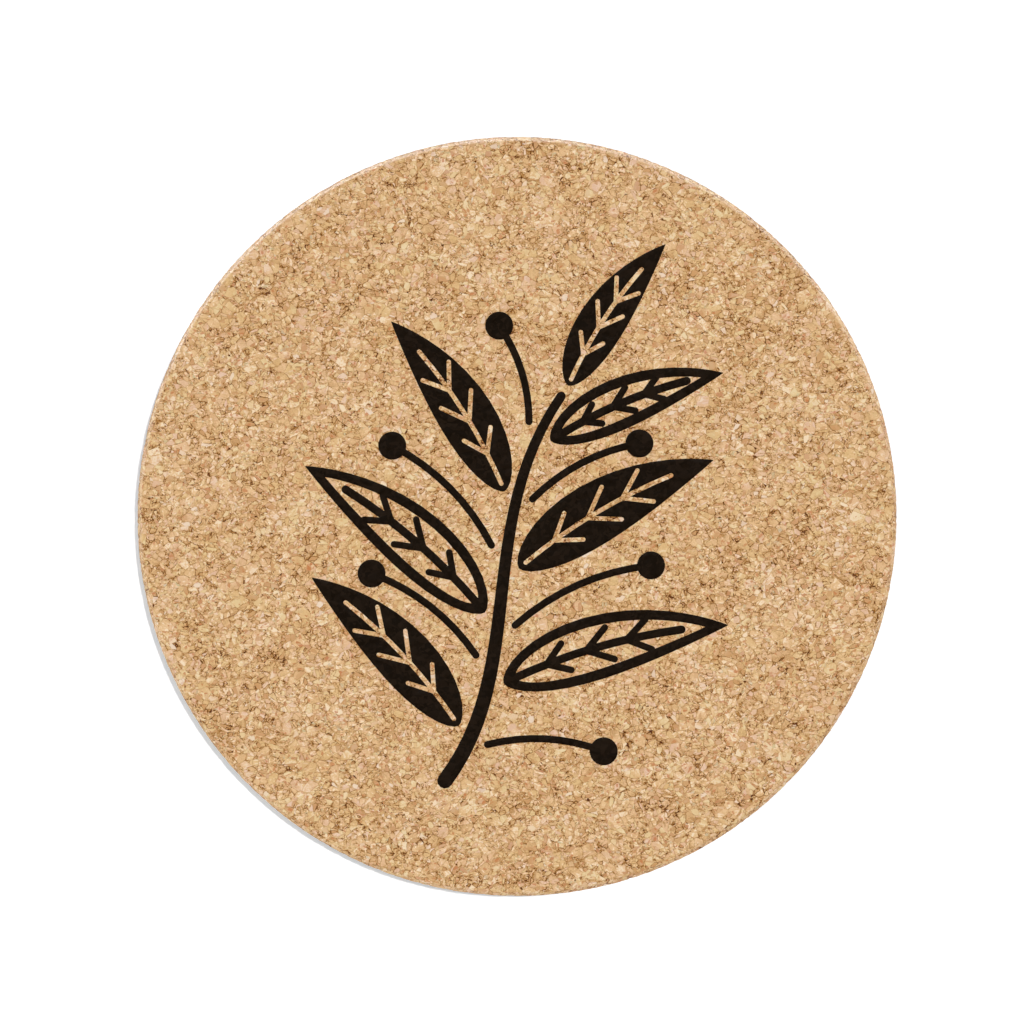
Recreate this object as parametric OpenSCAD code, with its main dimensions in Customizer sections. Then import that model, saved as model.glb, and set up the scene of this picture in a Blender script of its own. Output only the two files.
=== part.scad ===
// Round pressed-cork trivet with a printed leaf sprig.
// Millimetres, Z up. The origin is the centre of the underside, and the disc rests on z = 0.

/* [Disc] */
// Diameter of the cork disc
disc_d = 190; // [180:1:220]
// Thickness of the cork disc
disc_t = 10; // [6:0.5:14]
// Width of the sanded bevel round both faces
bevel_w = 1.2; // [0.5:0.1:2]

/* [Print] */
// Depth that the ink soaks into the top face
ink_depth = 0.3; // [0.2:0.05:0.6]
// Width of a drawn line at its thickest
line_w = 2.6; // [1.8:0.1:2.8]
// Bare cork between the stem and what grows from it
gap = 2; // [1.6:0.1:2.2]

/* [Sprig] */
// Length of the longest leaf
leaf_l = 58; // [48:1:58]
// Width of the widest leaf
leaf_w = 16; // [12:0.5:16]
// Angle between the stem and a leaf halfway up it
leaf_spread = 56; // [54:1:58]
// Diameter of a berry
berry_d = 7; // [5:0.5:7.5]

/* [Hidden] */
// Each leaf's share of the way up the stem, its side (1 left, -1 right) and its share of full size
LEAVES = [[0.14, 1, 0.9], [0.28, -1, 1], [0.45, 1, 1], [0.57, -1, 0.96], [0.75, 1, 0.88], [0.9, -1, 0.8]];
// Each berry's share of the way up the stem, its side and the length of its stalk
BERRIES = [[0.12, -1, 30], [0.33, 1, 34], [0.42, -1, 38], [0.61, 1, 36], [0.74, -1, 31], [0.91, 1, 26]];
tip_leaf = len(LEAVES) + 1;
$fn = 96;

// The stem's four control points, from its foot to its tip, and its width at both ends
STEM = [[-18, -66], [3, -38], [-11, -2], [11, 30]];
foot_w = line_w * 1.5;
tip_w = line_w * 0.9;
// How much wider the lowest leaf leans than the middle one, and the highest less
fan = 16;
// Size of the leaf at the stem's tip
tip_scale = 0.74;

// Shape of a leaf: how blunt its base is, how sharp its tip is, and how far its midrib bows
leaf_base = 0.62;
leaf_point = 0.95;
leaf_bow = 0.05;

// Lines in a leaf: midrib and veins of a leaf in line, and the bare slits of a filled one
rib_w = line_w * 0.8;
vein_w = line_w * 0.65;
slit_w = line_w * 0.42;
// Where the midrib and the veins lie, as shares of the leaf's length, and how far a vein reaches to the edge
rib_start = 0.04;
rib_end = 0.8;
VEINS = [0.2, 0.38, 0.56];
vein_angle = 34;
vein_reach = 0.62;
// Ink at the base and the tip of a leaf in line
base_ink = line_w * 1.2;
tip_ink = line_w * 2.2;

// A berry's stalk, and how far it bows
stalk_w = line_w * 0.7;
stalk_bow = 0.08;

// Radius that softens both corners of the bevel
corner_r = 0.5;

// Steps along the stem, one side of a leaf and any other line, and the angle of a step round a corner
stem_steps = 24;
leaf_steps = 18;
line_steps = 8;
corner_step = 15;

// Direction v shortened to length one
function unit(v) = v / norm(v);

// Direction v turned by an angle
function turned(v, a) = [v.x * cos(a) - v.y * sin(a), v.x * sin(a) + v.y * cos(a)];

// Shares of a line, closer together at both ends
function shares(n) = [for (i = [0:n]) (1 - cos(180 * i / n)) / 2];

// Direction of an axis at its point i
function along(axis, i) = unit(axis[min(i + 1, len(axis) - 1)] - axis[max(i - 1, 0)]);

// Points along one side of a band that follows an axis, from half its width at each point
function right_edge(axis, half) =
    [for (i = [0:len(axis) - 1]) axis[i] + half[i] * turned(along(axis, i), -90)];

// Points back along its other side
function left_edge(axis, half) =
    [for (i = [len(axis) - 1:-1:0]) axis[i] + half[i] * turned(along(axis, i), 90)];

// Points of a round end of radius r about point p, facing direction v
function round_end(p, v, r) = [for (a = [-60:30:60]) p + r * turned(v, a)];

// Outline of a drawn line with round ends
function line_outline(axis, half) =
    let (n = len(axis) - 1)
    concat(
        right_edge(axis, half),
        round_end(axis[n], along(axis, n), half[n]),
        left_edge(axis, half),
        round_end(axis[0], -along(axis, 0), half[0])
    );

// Points at share t of the way between neighbours. Repeated on control points, they close in on the curve
function closer(points, t) =
    [for (i = [1:len(points) - 1]) points[i - 1] + (points[i] - points[i - 1]) * t];

// Point, direction and width at share t of the stem
function stem_point(t) = closer(closer(closer(STEM, t), t), t)[0];
function stem_dir(t) =
    let (pair = closer(closer(STEM, t), t))
    unit(pair[1] - pair[0]);
function stem_width(t) = foot_w + (tip_w - foot_w) * t;

// Point at share t of a line that starts along X, has length l and bows sideways by a share of it
function bowed(t, l, bow) = [l * t, l * bow * 4 * t * (1 - t)];

// Half width of a leaf at share t, as a share of its greatest half width
function leaf_half(t) =
    let (widest = leaf_base / (leaf_base + leaf_point))
    pow(t / widest, leaf_base) * pow((1 - t) / (1 - widest), leaf_point);

// A drawn line of width w, between two shares of a bowed line of length l
module line_shape(l, w, bow, from, to, steps = line_steps) {
    axis = [for (i = [0:steps]) bowed(from + (to - from) * i / steps, l, bow)];
    polygon(line_outline(axis, [for (p = axis) w / 2]));
}

// A leaf of greatest width w, between two shares of a midrib of length l
module leaf_shape(l, w, from = 0, to = 1) {
    steps = shares(leaf_steps);
    inner = [for (i = [1:leaf_steps - 1]) steps[i]];
    axis = [for (t = inner) bowed(from + (to - from) * t, l, leaf_bow)];
    half = [for (t = inner) w / 2 * leaf_half(t)];
    polygon(concat(
        [bowed(from, l, leaf_bow)],
        right_edge(axis, half),
        [bowed(to, l, leaf_bow)],
        left_edge(axis, half)
    ));
}

// Pairs of side veins along the midrib of a leaf of length l and width w, as lines of a given width
module veins(l, w, line) {
    for (t = VEINS, side = [-1, 1]) {
        lean = atan2(leaf_bow * 4 * (1 - 2 * t), 1);
        reach = vein_reach * w / 2 * leaf_half(t) / sin(vein_angle);
        translate(bowed(t, l, leaf_bow))
            rotate(lean + side * vein_angle)
                line_shape(reach, line, 0, 0, 1, 1);
    }
}

// A filled leaf, with its midrib and veins left bare
module filled_leaf(l, w) {
    difference() {
        leaf_shape(l, w);
        line_shape(l, slit_w, leaf_bow, rib_start, rib_end);
        veins(l, w, slit_w);
    }
}

// A leaf drawn in line
module lined_leaf(l, w) {
    difference() {
        leaf_shape(l, w);
        leaf_shape(l, w - 2 * line_w, base_ink / l, 1 - tip_ink / l);
    }
    line_shape(l, rib_w, leaf_bow, rib_start, rib_end);
    veins(l, w - line_w, vein_w);
}

// Puts what it holds beside the stem on its own side, leaning away and mirrored to bow towards the tip
module beside_stem(t, side) {
    dir = stem_dir(t);
    lean = leaf_spread + fan * (1 - 2 * t);
    translate(stem_point(t) + (stem_width(t) / 2 + gap) * turned(dir, side * 90))
        rotate(atan2(dir.y, dir.x) + side * lean)
            mirror([0, max(side, 0)])
                children();
}

// The leaf that ends the stem
module tip_leaf_print() {
    dir = stem_dir(1);
    translate(stem_point(1) + (tip_w / 2 + gap) * dir)
        rotate(atan2(dir.y, dir.x))
            filled_leaf(leaf_l * tip_scale, leaf_w * tip_scale);
}

// A leaf beside the stem. Filled leaves and leaves in line take turns across and up it
module side_leaf_print(i) {
    leaf = LEAVES[i - 1];
    l = leaf_l * leaf[2];
    w = leaf_w * leaf[2];
    beside_stem(leaf[0], leaf[1])
        if (floor(i / 2) % 2 == 0)
            filled_leaf(l, w);
        else
            lined_leaf(l, w);
}

module leaf_print(i) {
    if (i == tip_leaf)
        tip_leaf_print();
    else
        side_leaf_print(i);
}

module stem_print() {
    steps = [for (i = [0:stem_steps]) i / stem_steps];
    axis = [for (t = steps) stem_point(t)];
    polygon(line_outline(axis, [for (t = steps) stem_width(t) / 2]));
}

// A berry on its stalk
module berry_print(i) {
    berry = BERRIES[i - 1];
    stalk_l = berry[2];
    beside_stem(berry[0], berry[1]) {
        line_shape(stalk_l, stalk_w, stalk_bow, stalk_w / 2 / stalk_l, 1);
        translate([stalk_l, 0])
            circle(d = berry_d);
    }
}

// Everything that is printed, as one flat shape
module sprig() {
    stem_print();
    for (i = [1:tip_leaf])
        leaf_print(i);
    for (i = [1:len(BERRIES)])
        berry_print(i);
}

// Ink that fills its recess in the cork and ends level with the top face
module ink() {
    color("#20170F")
        translate([0, 0, disc_t - ink_depth])
            linear_extrude(ink_depth)
                children();
}

// Points round a softened corner, between two directions that its surface faces
function corner(centre, from, to) =
    [for (a = [from:corner_step:to]) centre + corner_r * [cos(a), sin(a)]];

// Half of the disc's section, with both edges bevelled at 45 degrees
module disc_section() {
    lead = bevel_w + corner_r * tan(22.5);
    face_x = disc_d / 2 - lead;
    wall_x = disc_d / 2 - corner_r;
    polygon(concat(
        [[0, 0]],
        corner([face_x, corner_r], -90, -45),
        corner([wall_x, lead], -45, 0),
        corner([wall_x, disc_t - lead], 0, 45),
        corner([face_x, disc_t - corner_r], 45, 90),
        [[0, disc_t]]
    ));
}

// The pressed cork, with a shallow recess wherever the ink has soaked in
module cork_disc() {
    color("#D2A97C")
        difference() {
            rotate_extrude()
                disc_section();
            translate([0, 0, disc_t - ink_depth])
                linear_extrude(2 * ink_depth)
                    sprig();
        }
}

cork_disc();
ink() stem_print();  // ink_stem
for (i = [1:tip_leaf])
    ink() leaf_print(i);
for (i = [1:len(BERRIES)])
    ink() berry_print(i);
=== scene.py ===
import math

import bmesh
import bpy
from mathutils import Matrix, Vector


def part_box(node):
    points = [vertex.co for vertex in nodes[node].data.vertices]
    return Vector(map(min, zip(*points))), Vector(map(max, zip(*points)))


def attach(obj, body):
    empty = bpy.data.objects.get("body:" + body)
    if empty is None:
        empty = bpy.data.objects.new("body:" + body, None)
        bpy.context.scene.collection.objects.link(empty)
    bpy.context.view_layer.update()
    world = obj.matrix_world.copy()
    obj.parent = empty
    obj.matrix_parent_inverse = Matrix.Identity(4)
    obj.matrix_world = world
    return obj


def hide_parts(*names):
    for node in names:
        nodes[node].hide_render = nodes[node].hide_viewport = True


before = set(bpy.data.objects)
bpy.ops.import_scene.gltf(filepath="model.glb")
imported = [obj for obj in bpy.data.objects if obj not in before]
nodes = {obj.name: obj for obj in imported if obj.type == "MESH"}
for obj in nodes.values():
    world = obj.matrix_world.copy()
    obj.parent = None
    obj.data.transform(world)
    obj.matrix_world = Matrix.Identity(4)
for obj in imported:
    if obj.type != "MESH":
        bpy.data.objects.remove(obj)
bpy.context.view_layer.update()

# Cork disc.
# Granules of cork bark, mixed with a little binder, are pressed into a block. The disc is cut from it,
# sanded flat on both faces and bevelled round both, which opens cracks between the granules.
MM = 0.001
disc_low, disc_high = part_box("cork_disc")
disc_r = min(disc_high.x, disc_high.y)
disc_t = disc_high.z - disc_low.z
bevel_w = 1.2 * MM
# Corners of the first rough disc, the step of its fine mesh, and about how many triangles it keeps
rim_points = 256
mesh_step = 0.4 * MM
cork_triangles = 186000


def select_only(piece):
    """Makes a piece the only selected object, and the active one."""
    bpy.ops.object.select_all(action="DESELECT")
    piece.select_set(True)
    bpy.context.view_layer.objects.active = piece


def modify(piece, kind, **settings):
    """Adds a modifier to a piece and applies it."""
    select_only(piece)
    added = piece.modifiers.new(kind.lower(), kind)
    for name, value in settings.items():
        setattr(added, name, value)
    bpy.ops.object.modifier_apply(modifier=added.name)


def add(tree, kind, links, **settings):
    """Adds a node with its settings, and sets or links its inputs.

    An input goes by its name, or by its place among those in use. A node that is given as a value
    stands for its first output in use.
    """
    made = tree.nodes.new(kind)
    for name, value in settings.items():
        setattr(made, name, value)
    in_use = [socket for socket in made.inputs if socket.enabled]
    for key, value in links.items():
        socket = in_use[key] if isinstance(key, int) else made.inputs[key]
        if isinstance(value, bpy.types.Node):
            value = next(output for output in value.outputs if output.enabled)
        if isinstance(value, bpy.types.NodeSocket):
            tree.links.new(value, socket)
        else:
            socket.default_value = value
    return made


# Sizes in millimetres of a whole granule, a shard of one, a crumb, and a gap between them
granule_size = 2.3
shard_size = 1.15
crumb_size = 0.54
gap_size = 0.34
# How much longer than wide shards, crumbs and gaps are
shard_length = 1.85
gap_length = 6
# The press flattens granules to this share of their width, and they lie a little longer from side to
# side than up and down the print
pressed = 0.67
across = 1.08
# How far the edges of pieces wander from straight and how long a wave is, in millimetres
wander = 0.28
wave_length = 0.8
# Share of the granules that are broken to shards, and of the shards that are broken to crumbs
broken_share = 0.86
crumbled_share = 0.38
# How much shards still show in a granule that is whole
whole_shows = 0.45
# Size in millimetres of the places where the cork lies loose
loose_size = 1.5
# Middle of three values that each run from 0 to 1
halfway = (0.5, 0.5, 0.5)
# A random value from 0 to 1 turns what is in a cell by up to this many radians
most_turn = 20.0
# Farther off than any edge, in millimetres
no_edge = 9.0


def cells(tree, place, size):
    """Cells of one size.

    Gives three random values of each, how far up its own slope a point lies, and the cells.
    """
    cell = add(tree, "ShaderNodeTexVoronoi", {"Vector": place, "Scale": 1 / size})
    mark = cell.outputs["Color"]
    own = add(tree, "ShaderNodeTexWhiteNoise", {"Vector": mark}, noise_dimensions="3D")
    values = add(tree, "ShaderNodeSeparateXYZ", {0: own.outputs["Color"]})
    lean = add(tree, "ShaderNodeVectorMath", {0: mark, 1: halfway}, operation="SUBTRACT")
    centre = cell.outputs["Position"]
    away = add(tree, "ShaderNodeVectorMath", {0: place, 1: centre}, operation="SUBTRACT")
    up = add(tree, "ShaderNodeVectorMath", {0: away, 1: lean}, operation="DOT_PRODUCT")
    slope = add(tree, "ShaderNodeMath", {0: up.outputs["Value"], 1: size}, operation="DIVIDE")
    return values.outputs, slope, cell


def to_edge(tree, place, size):
    """Distance in millimetres from a point to the edge of its cell."""
    edge = add(
        tree, "ShaderNodeTexVoronoi", {"Vector": place, "Scale": 1 / size}, feature="DISTANCE_TO_EDGE"
    )
    return add(tree, "ShaderNodeMath", {0: edge, 1: size}, operation="MULTIPLY")


def turned(tree, place, by, length):
    """Lays what is broken inside a cell in a direction of the cell's own, longer than it is wide."""
    angle = add(tree, "ShaderNodeMath", {0: by, 1: most_turn}, operation="MULTIPLY")
    around = add(
        tree, "ShaderNodeVectorRotate", {"Vector": place, "Angle": angle}, rotation_type="Z_AXIS"
    )
    return add(tree, "ShaderNodeVectorMath", {0: around, 1: (1, 1 / length, 1)}, operation="MULTIPLY")


def cork_pattern(tree, place):
    """Where granules, shards, crumbs and gaps of the cork lie, for its relief and its colour alike."""
    press = (1 / MM / across, 1 / MM * across, 1 / MM / pressed)
    mm = add(tree, "ShaderNodeVectorMath", {0: place, 1: press}, operation="MULTIPLY")
    wave = add(tree, "ShaderNodeTexNoise", {"Vector": mm, "Scale": 1 / wave_length, "Detail": 1.0})
    centred = add(
        tree, "ShaderNodeVectorMath", {0: wave.outputs["Color"], 1: halfway}, operation="SUBTRACT"
    )
    bend = add(tree, "ShaderNodeVectorMath", {0: centred, "Scale": wander}, operation="SCALE")
    rough = add(tree, "ShaderNodeVectorMath", {0: mm, 1: bend}, operation="ADD")

    granule, granule_slope, _ = cells(tree, rough, granule_size)
    shard_place = turned(tree, rough, granule[2], shard_length)
    shard, shard_slope, _ = cells(tree, shard_place, shard_size)
    crumb_place = turned(tree, rough, shard[2], shard_length)
    crumb, crumb_slope, _ = cells(tree, crumb_place, crumb_size)
    gap, _, gap_cell = cells(tree, turned(tree, rough, shard[1], gap_length), gap_size)

    broken = add(
        tree, "ShaderNodeMath", {0: granule[1], 1: 1 - broken_share}, operation="GREATER_THAN"
    )
    split = add(
        tree, "ShaderNodeMath", {0: shard[1], 1: 1 - crumbled_share}, operation="GREATER_THAN"
    )
    crumbled = add(tree, "ShaderNodeMath", {0: split, 1: broken}, operation="MULTIPLY")
    shows = add(tree, "ShaderNodeMapRange", {"Value": broken, "To Min": whole_shows})

    def of_piece(whole, part, bit):
        """The value of the granule, the shard or the crumb, whichever is there."""
        larger = add(tree, "ShaderNodeMix", {0: shows, 1: whole, 2: part})
        return add(tree, "ShaderNodeMix", {0: crumbled, 1: larger, 2: bit})

    granule_edge = to_edge(tree, rough, granule_size)
    shard_edge = to_edge(tree, shard_place, shard_size)
    crumb_edge = to_edge(tree, crumb_place, crumb_size)
    bit_edge = add(tree, "ShaderNodeMix", {0: crumbled, 1: no_edge, 2: crumb_edge})
    part_edge = add(tree, "ShaderNodeMath", {0: shard_edge, 1: bit_edge}, operation="MINIMUM")
    inner_edge = add(tree, "ShaderNodeMix", {0: broken, 1: no_edge, 2: part_edge})
    edge = add(tree, "ShaderNodeMath", {0: granule_edge, 1: inner_edge}, operation="MINIMUM")
    loose = add(tree, "ShaderNodeTexNoise", {"Vector": mm, "Scale": 1 / loose_size, "Detail": 1.0})
    return {
        "mm": mm,
        "tone": of_piece(granule[0], shard[0], crumb[0]),
        "hue": of_piece(granule[2], shard[2], crumb[2]),
        "rim": of_piece(granule[1], shard[1], crumb[1]),
        # How far up its piece's own slope a point lies, which the colour uses to paint light and shade
        # on each facet
        "slope": of_piece(granule_slope, shard_slope, crumb_slope),
        "granule": granule,
        "granule_slope": granule_slope,
        "granule_edge": granule_edge,
        "crumb": crumb,
        "broken": broken,
        "edge": edge,
        "gap": gap,
        "gap_cell": gap_cell,
        "loose": loose.outputs["Fac"],
    }


# Depth of the relief: cracks between granules, and how unevenly the granules stand
crack_depth = 0.2 * MM
uneven = 0.05 * MM
# Distance in millimetres from a granule's edge at which a crack begins to sink
crack_width = 0.45
# How loose the cork is where a crack begins to open, and where it is fully open
crack_begins = 0.42
crack_opens = 0.6
# How far up and down its own slope a granule tilts
tilt_span = 0.35
# How far the whole skin lies inside the CAD disc, so that no part of the relief stands proud of it
skin_gap = 0.035 * MM


def relief_tree():
    """Sinks the surface into the cracks between granules. Nothing stands proud of the sanded face."""
    tree = bpy.data.node_groups.new("cork_relief", "GeometryNodeTree")
    tree.is_modifier = True
    tree.interface.new_socket("Mesh", in_out="INPUT", socket_type="NodeSocketGeometry")
    tree.interface.new_socket("Mesh", in_out="OUTPUT", socket_type="NodeSocketGeometry")
    given = add(tree, "NodeGroupInput", {})
    place = add(tree, "GeometryNodeInputPosition", {})
    normal = add(tree, "GeometryNodeInputNormal", {})
    pattern = cork_pattern(tree, place)
    near = add(
        tree, "ShaderNodeMapRange",
        {"Value": pattern["granule_edge"], "From Max": crack_width, "To Min": 1.0, "To Max": 0.0},
    )
    open_crack = add(
        tree, "ShaderNodeMapRange",
        {"Value": pattern["loose"], "From Min": crack_begins, "From Max": crack_opens},
    )
    crack = add(tree, "ShaderNodeMath", {0: near, 1: open_crack}, operation="MULTIPLY")
    tilt = add(
        tree, "ShaderNodeMapRange",
        {
            "Value": pattern["granule_slope"],
            "From Min": tilt_span, "From Max": -tilt_span,
            "To Min": skin_gap, "To Max": skin_gap + uneven,
        },
    )
    sunk = add(tree, "ShaderNodeMath", {0: crack, 1: crack_depth, 2: tilt}, operation="MULTIPLY_ADD")
    inward = add(tree, "ShaderNodeMath", {0: sunk, 1: -1.0}, operation="MULTIPLY")
    move = add(tree, "ShaderNodeVectorMath", {0: normal, "Scale": inward}, operation="SCALE")
    placed = add(tree, "GeometryNodeSetPosition", {"Geometry": given, "Offset": move})
    add(tree, "NodeGroupOutput", {0: placed})
    return tree


bpy.ops.object.select_all(action="DESELECT")
bpy.ops.mesh.primitive_cylinder_add(
    vertices=rim_points, radius=disc_r, depth=disc_t, location=(0, 0, disc_low.z + disc_t / 2)
)
cork = bpy.context.object
cork.name = "pressed_cork"
bpy.ops.object.transform_apply(location=True, rotation=True, scale=True)
bpy.ops.object.mode_set(mode="EDIT")
shaped = bmesh.from_edit_mesh(cork.data)
for rim_edge in shaped.edges:
    ends = [vert.co.z for vert in rim_edge.verts]
    rim_edge.select_set(abs(ends[0] - ends[1]) < disc_t / 2)
bmesh.update_edit_mesh(cork.data)
bpy.ops.mesh.bevel(offset=bevel_w, segments=1, affect="EDGES")
bpy.ops.object.mode_set(mode="OBJECT")
modify(cork, "REMESH", mode="VOXEL", voxel_size=mesh_step)
modify(cork, "NODES", node_group=relief_tree())
modify(
    cork, "DECIMATE",
    ratio=cork_triangles / (2 * len(cork.data.polygons)), use_collapse_triangulate=True,
)
bpy.ops.object.shade_smooth()


def linear(hex_colour):
    """An sRGB hex colour as linear red, green, blue and alpha."""
    shares = [int(hex_colour[i:i + 2], 16) / 255 for i in (1, 3, 5)]
    return [s / 12.92 if s <= 0.04045 else ((s + 0.055) / 1.055) ** 2.4 for s in shares] + [1.0]


# Colours of cork bark from the deepest crack to the palest granule, in even steps. The darker and
# paler steps also carry the painted light and shade of facets, rims and cracks
cork_shades = [
    "#542404", "#834E14", "#A06A2B", "#B3844A", "#BE915E", "#C99E6B",
    "#D3A976", "#DBB280", "#E1BA8B", "#E7C395", "#F0D9B9",
]
# Share of small gaps in tight and in loose cork, and how many of them a whole granule keeps
fewest_gaps = 0.05
most_gaps = 0.17
gaps_in_whole = 0.25
# How loose the cork is where gaps begin to crowd, and where they crowd most
crowding_begins = 0.42
crowding_full = 0.65
# Share of pale slivers, and how much of its cell a gap or a sliver fills before it fades, and in all
sliver_share = 0.16
slit_core = 0.35
slit_edge = 0.55
# Width in millimetres of a crack's dark line, and how loose the cork is where it begins and is full
crack_line = 0.12
line_begins = 0.38
line_full = 0.62
# Width in millimetres of a piece's rim, and how dark its painted shade or pale its painted highlight
# is
rim_line = 0.16
darkest_edge_shade = -1.0
palest_edge_highlight = 0.7
# Sizes in millimetres of the grain, of darker and paler stretches, and of calm and busy places
grain_size = 0.4
shade_size = 9.0
calm_size = 4.0
# Contrast of the calmest and the busiest places, and the noise that they go by
calmest = 0.84
busiest = 1.16
calm_noise = 0.35
busy_noise = 0.65
# How far cracks and gaps darken the cork on the whole, and its shade without them
drop = 0.12
middle_shade = 0.782
# How pale the cork is where a tint begins to take, and where it takes fully
tint_begins = 0.4
tint_full = 0.7
# Grit that is too fine for the mesh
grit_depth = 0.05 * MM
grit_strength = 0.3
# Gloss of the cork, the roughness of its faces and wall and of its bevel, and how far one runs into
# the other
cork_gloss = 0.35
matt = 1.0
burnished = 0.45
gloss_blend = 0.2 * MM


def cork_material():
    """Pressed and sanded cork: matt and mottled, with dark gaps, painted light and shade on its
    pieces, and a few red bark crumbs.
    """
    material = bpy.data.materials.new("sanded_pressed_cork")
    material.use_nodes = True
    tree = material.node_tree
    tree.nodes.clear()
    place = add(tree, "ShaderNodeTexCoord", {}).outputs["Object"]
    pattern = cork_pattern(tree, place)
    mm = pattern["mm"]
    # Gaps are slits that the binder hasn't filled, painted dark for the brown inside them and as
    # painted shade that falls in them. Loose cork has more of them, and a whole granule fewer. Slivers
    # are as small, and pale
    drift = add(
        tree, "ShaderNodeMapRange",
        {
            "Value": pattern["loose"],
            "From Min": crowding_begins, "From Max": crowding_full,
            "To Min": fewest_gaps, "To Max": most_gaps,
        },
    )
    kept = add(tree, "ShaderNodeMapRange", {"Value": pattern["broken"], "To Min": gaps_in_whole})
    gap_share = add(tree, "ShaderNodeMath", {0: drift, 1: kept}, operation="MULTIPLY")
    lens = add(
        tree, "ShaderNodeMapRange",
        {
            "Value": pattern["gap_cell"].outputs["Distance"],
            "From Min": slit_core, "From Max": slit_edge, "To Min": 1.0, "To Max": 0.0,
        },
    )
    is_gap = add(tree, "ShaderNodeMath", {0: pattern["gap"][0], 1: gap_share}, operation="LESS_THAN")
    is_sliver = add(
        tree, "ShaderNodeMath", {0: pattern["gap"][0], 1: 1 - sliver_share}, operation="GREATER_THAN"
    )
    gap = add(tree, "ShaderNodeMath", {0: lens, 1: is_gap}, operation="MULTIPLY")
    sliver = add(tree, "ShaderNodeMath", {0: lens, 1: is_sliver}, operation="MULTIPLY")
    # Fine cracks run along the edges of granules, shards and crumbs where they are loose, painted dark
    # for the bark's own brown and as painted shade down in them
    near = add(
        tree, "ShaderNodeMapRange",
        {"Value": pattern["edge"], "From Max": crack_line, "To Min": 1.0, "To Max": 0.0},
    )
    open_crack = add(
        tree, "ShaderNodeMapRange",
        {"Value": pattern["loose"], "From Min": line_begins, "From Max": line_full},
    )
    crack = add(tree, "ShaderNodeMath", {0: near, 1: open_crack}, operation="MULTIPLY")
    # Painted highlight and shade: the rim of a piece is painted paler or darker than its middle, as
    # the lit or shaded edge of a facet
    rim_near = add(
        tree, "ShaderNodeMapRange",
        {"Value": pattern["edge"], "From Max": rim_line, "To Min": 1.0, "To Max": 0.0},
    )
    edge_highlight_or_shade = add(
        tree, "ShaderNodeMapRange",
        {"Value": pattern["rim"], "To Min": darkest_edge_shade, "To Max": palest_edge_highlight},
    )
    rim = add(tree, "ShaderNodeMath", {0: rim_near, 1: edge_highlight_or_shade}, operation="MULTIPLY")
    grain = add(tree, "ShaderNodeTexNoise", {"Vector": mm, "Scale": 1 / grain_size, "Detail": 0.0})
    shade = add(tree, "ShaderNodeTexNoise", {"Vector": mm, "Scale": 1 / shade_size, "Detail": 1.0})
    # Each part's pull on the shade: its value, its middle and its strength
    parts = [
        (pattern["granule"][0], 0.5, 0.09),
        (pattern["tone"], 0.5, 0.31),
        # Painted light and shade: each piece is paler up its own slope and darker down it, as a tilted
        # facet lit from one side
        (pattern["slope"], 0.0, 0.75),
        (grain.outputs["Fac"], 0.5, 0.44),
        (shade.outputs["Fac"], 0.5, 0.44),
        # Gaps and cracks darken the cork partly with its own brown and partly with painted shade
        (gap, 0.0, -0.34),
        (crack, 0.0, -0.38),
        (sliver, 0.0, 0.3),
        # Painted highlight and shade along the rims of pieces
        (rim, 0.0, 0.46),
    ]
    pull = drop
    for value, middle, strength in parts:
        off_middle = add(tree, "ShaderNodeMath", {0: value, 1: middle}, operation="SUBTRACT")
        pull = add(
            tree, "ShaderNodeMath", {0: off_middle, 1: strength, 2: pull}, operation="MULTIPLY_ADD"
        )
    # Some places are calm and others busy
    mixing = add(tree, "ShaderNodeTexNoise", {"Vector": mm, "Scale": 1 / calm_size, "Detail": 1.0})
    busy = add(
        tree, "ShaderNodeMapRange",
        {
            "Value": mixing.outputs["Fac"],
            "From Min": calm_noise, "From Max": busy_noise, "To Min": calmest, "To Max": busiest,
        },
    )
    level = add(
        tree, "ShaderNodeMath", {0: pull, 1: busy, 2: middle_shade - drop}, operation="MULTIPLY_ADD"
    )
    ramp = add(tree, "ShaderNodeValToRGB", {0: level})
    stops = ramp.color_ramp.elements
    while len(stops) < len(cork_shades):
        stops.new(0.5)
    for i, shade_hex in enumerate(cork_shades):
        stops[i].position = i / (len(cork_shades) - 1)
        stops[i].color = linear(shade_hex)
    # Some granules and pieces of them are pinker, yellower, browner or greyer than the rest, a few
    # crumbs are red bark and the odd chip is nearly white. Only what is pale takes a tint, so cracks
    # stay brown
    pale = add(
        tree, "ShaderNodeMapRange", {"Value": level, "From Min": tint_begins, "From Max": tint_full}
    )
    colour = ramp
    # What each tint goes by, where in that it starts and is full, its colour and its strength
    tints = [
        (pattern["granule"][2], 0.6, 0.95, "#DDB294", 0.3),
        (pattern["hue"], 0.75, 0.95, "#DDB7A2", 0.55),
        (pattern["granule"][2], 0.4, 0.05, "#D6B472", 0.35),
        (pattern["hue"], 0.25, 0.05, "#E2CA98", 0.62),
        (pattern["rim"], 0.12, 0.06, "#BC7F49", 0.6),
        (pattern["rim"], 0.84, 0.92, "#B4A883", 0.55),
        (pattern["crumb"][1], 0.93, 0.95, "#C0703A", 0.7),
        (pattern["hue"], 0.98, 0.985, "#F2E4CE", 0.5),
    ]
    for value, start, full, tint, strength in tints:
        strong = add(
            tree, "ShaderNodeMapRange",
            {"Value": value, "From Min": start, "From Max": full, "To Max": strength},
        )
        share = add(tree, "ShaderNodeMath", {0: strong, 1: pale}, operation="MULTIPLY")
        colour = add(tree, "ShaderNodeMix", {0: share, 1: colour, 2: linear(tint)}, data_type="RGBA")
    bump = add(
        tree, "ShaderNodeBump",
        {"Strength": grit_strength, "Distance": grit_depth, "Height": grain.outputs["Fac"]},
    )
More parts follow.
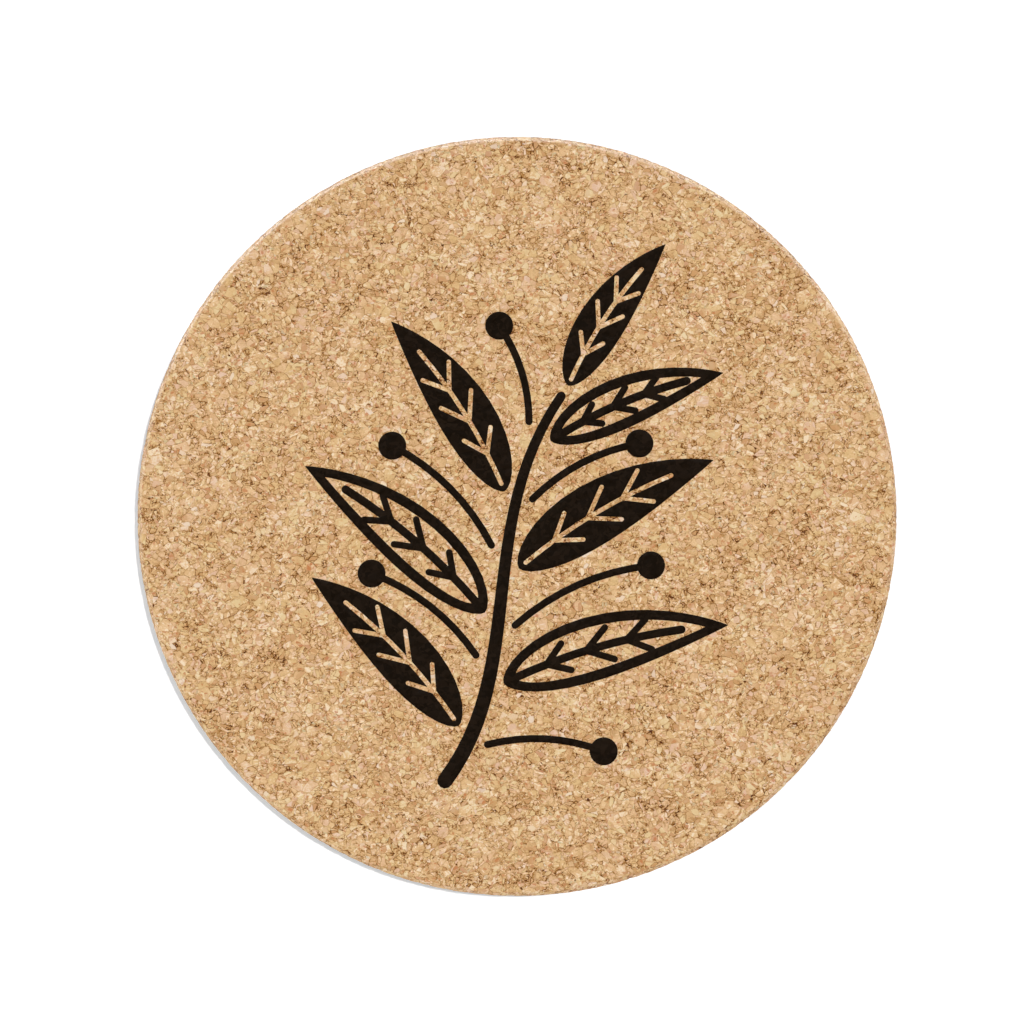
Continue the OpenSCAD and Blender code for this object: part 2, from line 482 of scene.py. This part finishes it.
    # The faces and the wall are matt, and the sanding belt has burnished the bevel between them
    level_place = add(tree, "ShaderNodeVectorMath", {0: place, 1: (1, 1, 0)}, operation="MULTIPLY")
    from_centre = add(tree, "ShaderNodeVectorMath", {0: level_place}, operation="LENGTH")
    height = add(tree, "ShaderNodeSeparateXYZ", {0: place}).outputs["Z"]
    half_up = disc_low.z + disc_t / 2
    above_half = add(tree, "ShaderNodeMath", {0: height, 1: half_up}, operation="SUBTRACT")
    from_half = add(tree, "ShaderNodeMath", {0: above_half}, operation="ABSOLUTE")
    face_r = disc_r - bevel_w
    wall_half = disc_t / 2 - bevel_w
    off_face = add(
        tree, "ShaderNodeMapRange",
        {
            "Value": from_centre.outputs["Value"],
            "From Min": face_r - gloss_blend, "From Max": face_r + gloss_blend,
        },
    )
    off_wall = add(
        tree, "ShaderNodeMapRange",
        {
            "Value": from_half,
            "From Min": wall_half - gloss_blend, "From Max": wall_half + gloss_blend,
        },
    )
    on_bevel = add(tree, "ShaderNodeMath", {0: off_face, 1: off_wall}, operation="MULTIPLY")
    roughness = add(
        tree, "ShaderNodeMapRange", {"Value": on_bevel, "To Min": matt, "To Max": burnished}
    )
    surface = add(
        tree, "ShaderNodeBsdfPrincipled",
        {
            "Base Color": colour, "Roughness": roughness,
            "Specular IOR Level": cork_gloss, "Normal": bump,
        },
    )
    add(tree, "ShaderNodeOutputMaterial", {"Surface": surface})
    return material


cork.data.materials.clear()
cork.data.materials.append(cork_material())

# Printed ink.
# Near-black ink is pressed through a screen onto the cork and soaks into its top. It follows every
# granule and crack, and dries matt. Each patch that touches no other is a piece of its own.
ink_names = [name for name in nodes if name.startswith("ink_")]
# The patches are first made to stand this high, and then cut back to the cork's surface
print_top = disc_high.z + 1 * MM
# Points that are this close are one, and the face of a patch is found to within this height
merge_distance = 0.001 * MM
face_margin = 0.01 * MM
# Colour of the ink where it lies thick, and where it is thin over a pale granule
thick_ink = "#120A03"
thin_ink = "#20160D"
thin_from = 0.2
ink_gloss = 0.06


def ink_material():
    """Screen-printed ink on cork: near black, matt, and a little browner where granules show."""
    material = bpy.data.materials.new("screen_printed_ink")
    material.use_nodes = True
    tree = material.node_tree
    tree.nodes.clear()
    place = add(tree, "ShaderNodeTexCoord", {}).outputs["Object"]
    pattern = cork_pattern(tree, place)
    thin = add(tree, "ShaderNodeMapRange", {"Value": pattern["tone"], "From Min": thin_from})
    colour = add(
        tree, "ShaderNodeMix", {0: thin, 1: linear(thick_ink), 2: linear(thin_ink)}, data_type="RGBA"
    )
    surface = add(
        tree, "ShaderNodeBsdfPrincipled",
        {"Base Color": colour, "Roughness": matt, "Specular IOR Level": ink_gloss},
    )
    add(tree, "ShaderNodeOutputMaterial", {"Surface": surface})
    return material


ink_finish = ink_material()
patches = []
for name in ink_names:
    patch = bpy.data.objects.new(name.replace("ink_", "printed_"), nodes[name].data.copy())
    bpy.context.scene.collection.objects.link(patch)
    select_only(patch)
    bpy.ops.object.mode_set(mode="EDIT")
    bpy.ops.mesh.select_all(action="SELECT")
    bpy.ops.mesh.remove_doubles(threshold=merge_distance)
    shaped = bmesh.from_edit_mesh(patch.data)
    face_z = max(vert.co.z for vert in shaped.verts)
    for vert in shaped.verts:
        vert.select_set(vert.co.z > face_z - face_margin)
    shaped.select_flush_mode()
    bmesh.update_edit_mesh(patch.data)
    bpy.ops.transform.translate(value=(0, 0, print_top - face_z))
    bpy.ops.object.mode_set(mode="OBJECT")
    patches.append(patch)

bpy.ops.object.select_all(action="DESELECT")
for patch in patches:
    patch.select_set(True)
bpy.context.view_layer.objects.active = patches[0]
bpy.ops.object.duplicate()
bpy.ops.object.join()
whole_print = bpy.context.object
for patch in patches:
    modify(patch, "BOOLEAN", operation="INTERSECT", solver="MANIFOLD", object=cork)
    patch.data.materials.clear()
    patch.data.materials.append(ink_finish)
    bpy.ops.object.shade_smooth()
    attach(patch, "root")
    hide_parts(patch.name.replace("printed_", "ink_"))
modify(cork, "BOOLEAN", operation="DIFFERENCE", solver="MANIFOLD", object=whole_print)
bpy.data.objects.remove(whole_print)

# The finish is to be baked through this map. What faces up is this much larger
# on it than the rest
face_share = 1.6
# Height that the normal of what faces up has at least
faces_up = 0.2
# Gap between the map's islands, and the angle in degrees at which they part
island_gap = 0.001
parting_angle = 66
select_only(cork)
bake_map = cork.data.uv_layers.new(name="OFBake")
cork.data.uv_layers.active = bake_map
bpy.context.scene.tool_settings.use_uv_select_sync = True
bpy.ops.object.mode_set(mode="EDIT")
bpy.ops.mesh.select_all(action="SELECT")
bpy.ops.uv.smart_project(angle_limit=math.radians(parting_angle), island_margin=island_gap)
shaped = bmesh.from_edit_mesh(cork.data)
places = shaped.loops.layers.uv["OFBake"]
for face in shaped.faces:
    if face.normal.z > faces_up:
        for corner in face.loops:
            corner[places].uv *= face_share
bmesh.update_edit_mesh(cork.data)
bpy.ops.uv.pack_islands(margin=island_gap, shape_method="CONCAVE")
bpy.ops.object.mode_set(mode="OBJECT")
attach(cork, "root")
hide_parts("cork_disc")

# Floor.
# A plain matt sheet of pale paper, which the camera sees as white, and which keeps the trivet's thin
# shadow. From below it is clear, and it lights what it touches, so that the underside shows too.
floor_size = 8.0
below_disc = 0.02 * MM
touch = 0.6 * MM
# Share of red, green and blue that the paper reflects, what it adds to come out white, and its light
# on what it touches
paper_colour = (0.9, 0.87, 0.85, 1)
paper_glow = (0.2, 0.275, 0.33, 1)
touch_light = 0.9
bpy.ops.object.select_all(action="DESELECT")
bpy.ops.mesh.primitive_plane_add(size=floor_size, location=(0, 0, disc_low.z - below_disc))
floor = bpy.context.object
floor.name = "floor"
paper = bpy.data.materials.new("white_paper")
paper.use_nodes = True
paper_tree = paper.node_tree
paper_tree.nodes.clear()


def seen_rays(tree):
    """The ray, and whether it comes from the camera, a mirror or glass."""
    ray = add(tree, "ShaderNodeLightPath", {})
    straight = ray.outputs["Is Camera Ray"]
    mirrored = ray.outputs["Is Glossy Ray"]
    either = add(tree, "ShaderNodeMath", {0: straight, 1: mirrored}, operation="MAXIMUM")
    through = ray.outputs["Is Transmission Ray"]
    return ray, add(tree, "ShaderNodeMath", {0: either, 1: through}, operation="MAXIMUM")


ray, seen = seen_rays(paper_tree)
glow = add(paper_tree, "ShaderNodeEmission", {"Color": paper_glow, "Strength": seen})
length = ray.outputs["Ray Length"]
touched = add(paper_tree, "ShaderNodeMath", {0: length, 1: touch}, operation="LESS_THAN")
paper_face = add(paper_tree, "ShaderNodeBsdfDiffuse", {"Color": paper_colour})
both = add(paper_tree, "ShaderNodeAddShader", {0: paper_face, 1: glow})
lit = add(paper_tree, "ShaderNodeEmission", {"Color": (1, 1, 1, 1), "Strength": touch_light})
above = add(paper_tree, "ShaderNodeMixShader", {0: touched, 1: both, 2: lit})
behind = add(paper_tree, "ShaderNodeNewGeometry", {}).outputs["Backfacing"]
clear = add(paper_tree, "ShaderNodeBsdfTransparent", {})
sheet = add(paper_tree, "ShaderNodeMixShader", {0: behind, 1: above, 2: clear})
add(paper_tree, "ShaderNodeOutputMaterial", {"Surface": sheet})
floor.data.materials.append(paper)

# Light.
# The key light stands nearly overhead at the upper right, and casts the thin shadow at the lower left.
# White cards stand low round the top edge and put a sheen on the bevel there, and the white room
# lights the trivet from all sides.
room_light = 0.4
# Angles and apparent sizes are in degrees, and a direction goes round from +X
lamps = [
    # name, share of the light on a level face, direction, tilt from overhead, apparent size
    ("key_light", 0.56, 35, 13.9, 2),
    ("side_light", 0.04, 205, 80, 12),
]
sheen_cards = [
    # direction, strength
    (35, 4.8),
    (70, 5.6),
    (105, 7.8),
    (140, 7.7),
    (175, 2.4),
]
card_tilt = 87
card_size = 40


def far_lamp(name, energy, direction, tilt, apparent_size):
    """A lamp so far off that its light comes from one direction."""
    lamp = bpy.data.objects.new(name, bpy.data.lights.new(name, "SUN"))
    bpy.context.scene.collection.objects.link(lamp)
    lean, turn = math.radians(tilt), math.radians(direction)
    outward = math.sin(lean)
    towards = Vector((outward * math.cos(turn), outward * math.sin(turn), math.cos(lean)))
    lamp.location = towards
    lamp.rotation_euler = towards.to_track_quat("Z", "Y").to_euler()
    lamp.data.energy = energy
    lamp.data.angle = math.radians(apparent_size)
    lamp.data.cycles.use_multiple_importance_sampling = False
    return lamp


for name, share, direction, tilt, apparent_size in lamps:
    energy = share * math.pi / math.cos(math.radians(tilt))
    lamp = far_lamp(name, energy, direction, tilt, apparent_size)
    lamp.visible_glossy = False
for direction, strength in sheen_cards:
    card = far_lamp(f"sheen_card_{direction}", strength, direction, card_tilt, card_size)
    card.visible_diffuse = False

world = bpy.data.worlds.new("room")
bpy.context.scene.world = world
world.use_nodes = True
world_tree = world.node_tree
world_tree.nodes.clear()
_, seen = seen_rays(world_tree)
strength = add(
    world_tree, "ShaderNodeMapRange", {"Value": seen, "To Min": room_light, "To Max": 1.0}
)
room = add(world_tree, "ShaderNodeBackground", {"Color": (1, 1, 1, 1), "Strength": strength})
add(world_tree, "ShaderNodeOutputWorld", {"Surface": room})

# Camera.
# It looks straight down from far above, as the photograph was taken. The disc lies a little to the
# right of the middle of the picture, and a little below it.
picture_px = 1024
disc_px_x, disc_px_y, disc_px_r = 517.05, 516.38, 380.0
px = disc_r / disc_px_r
camera = bpy.data.objects.new("camera", bpy.data.cameras.new("camera"))
bpy.context.scene.collection.objects.link(camera)
camera.data.lens = 120
camera.data.sensor_width = 36
rise = picture_px * px * camera.data.lens / camera.data.sensor_width
camera.location = (
    (picture_px / 2 - disc_px_x) * px, (disc_px_y - picture_px / 2) * px, disc_high.z - bevel_w + rise
)
bpy.context.scene.camera = camera
bpy.context.scene.view_settings.view_transform = "Standard"
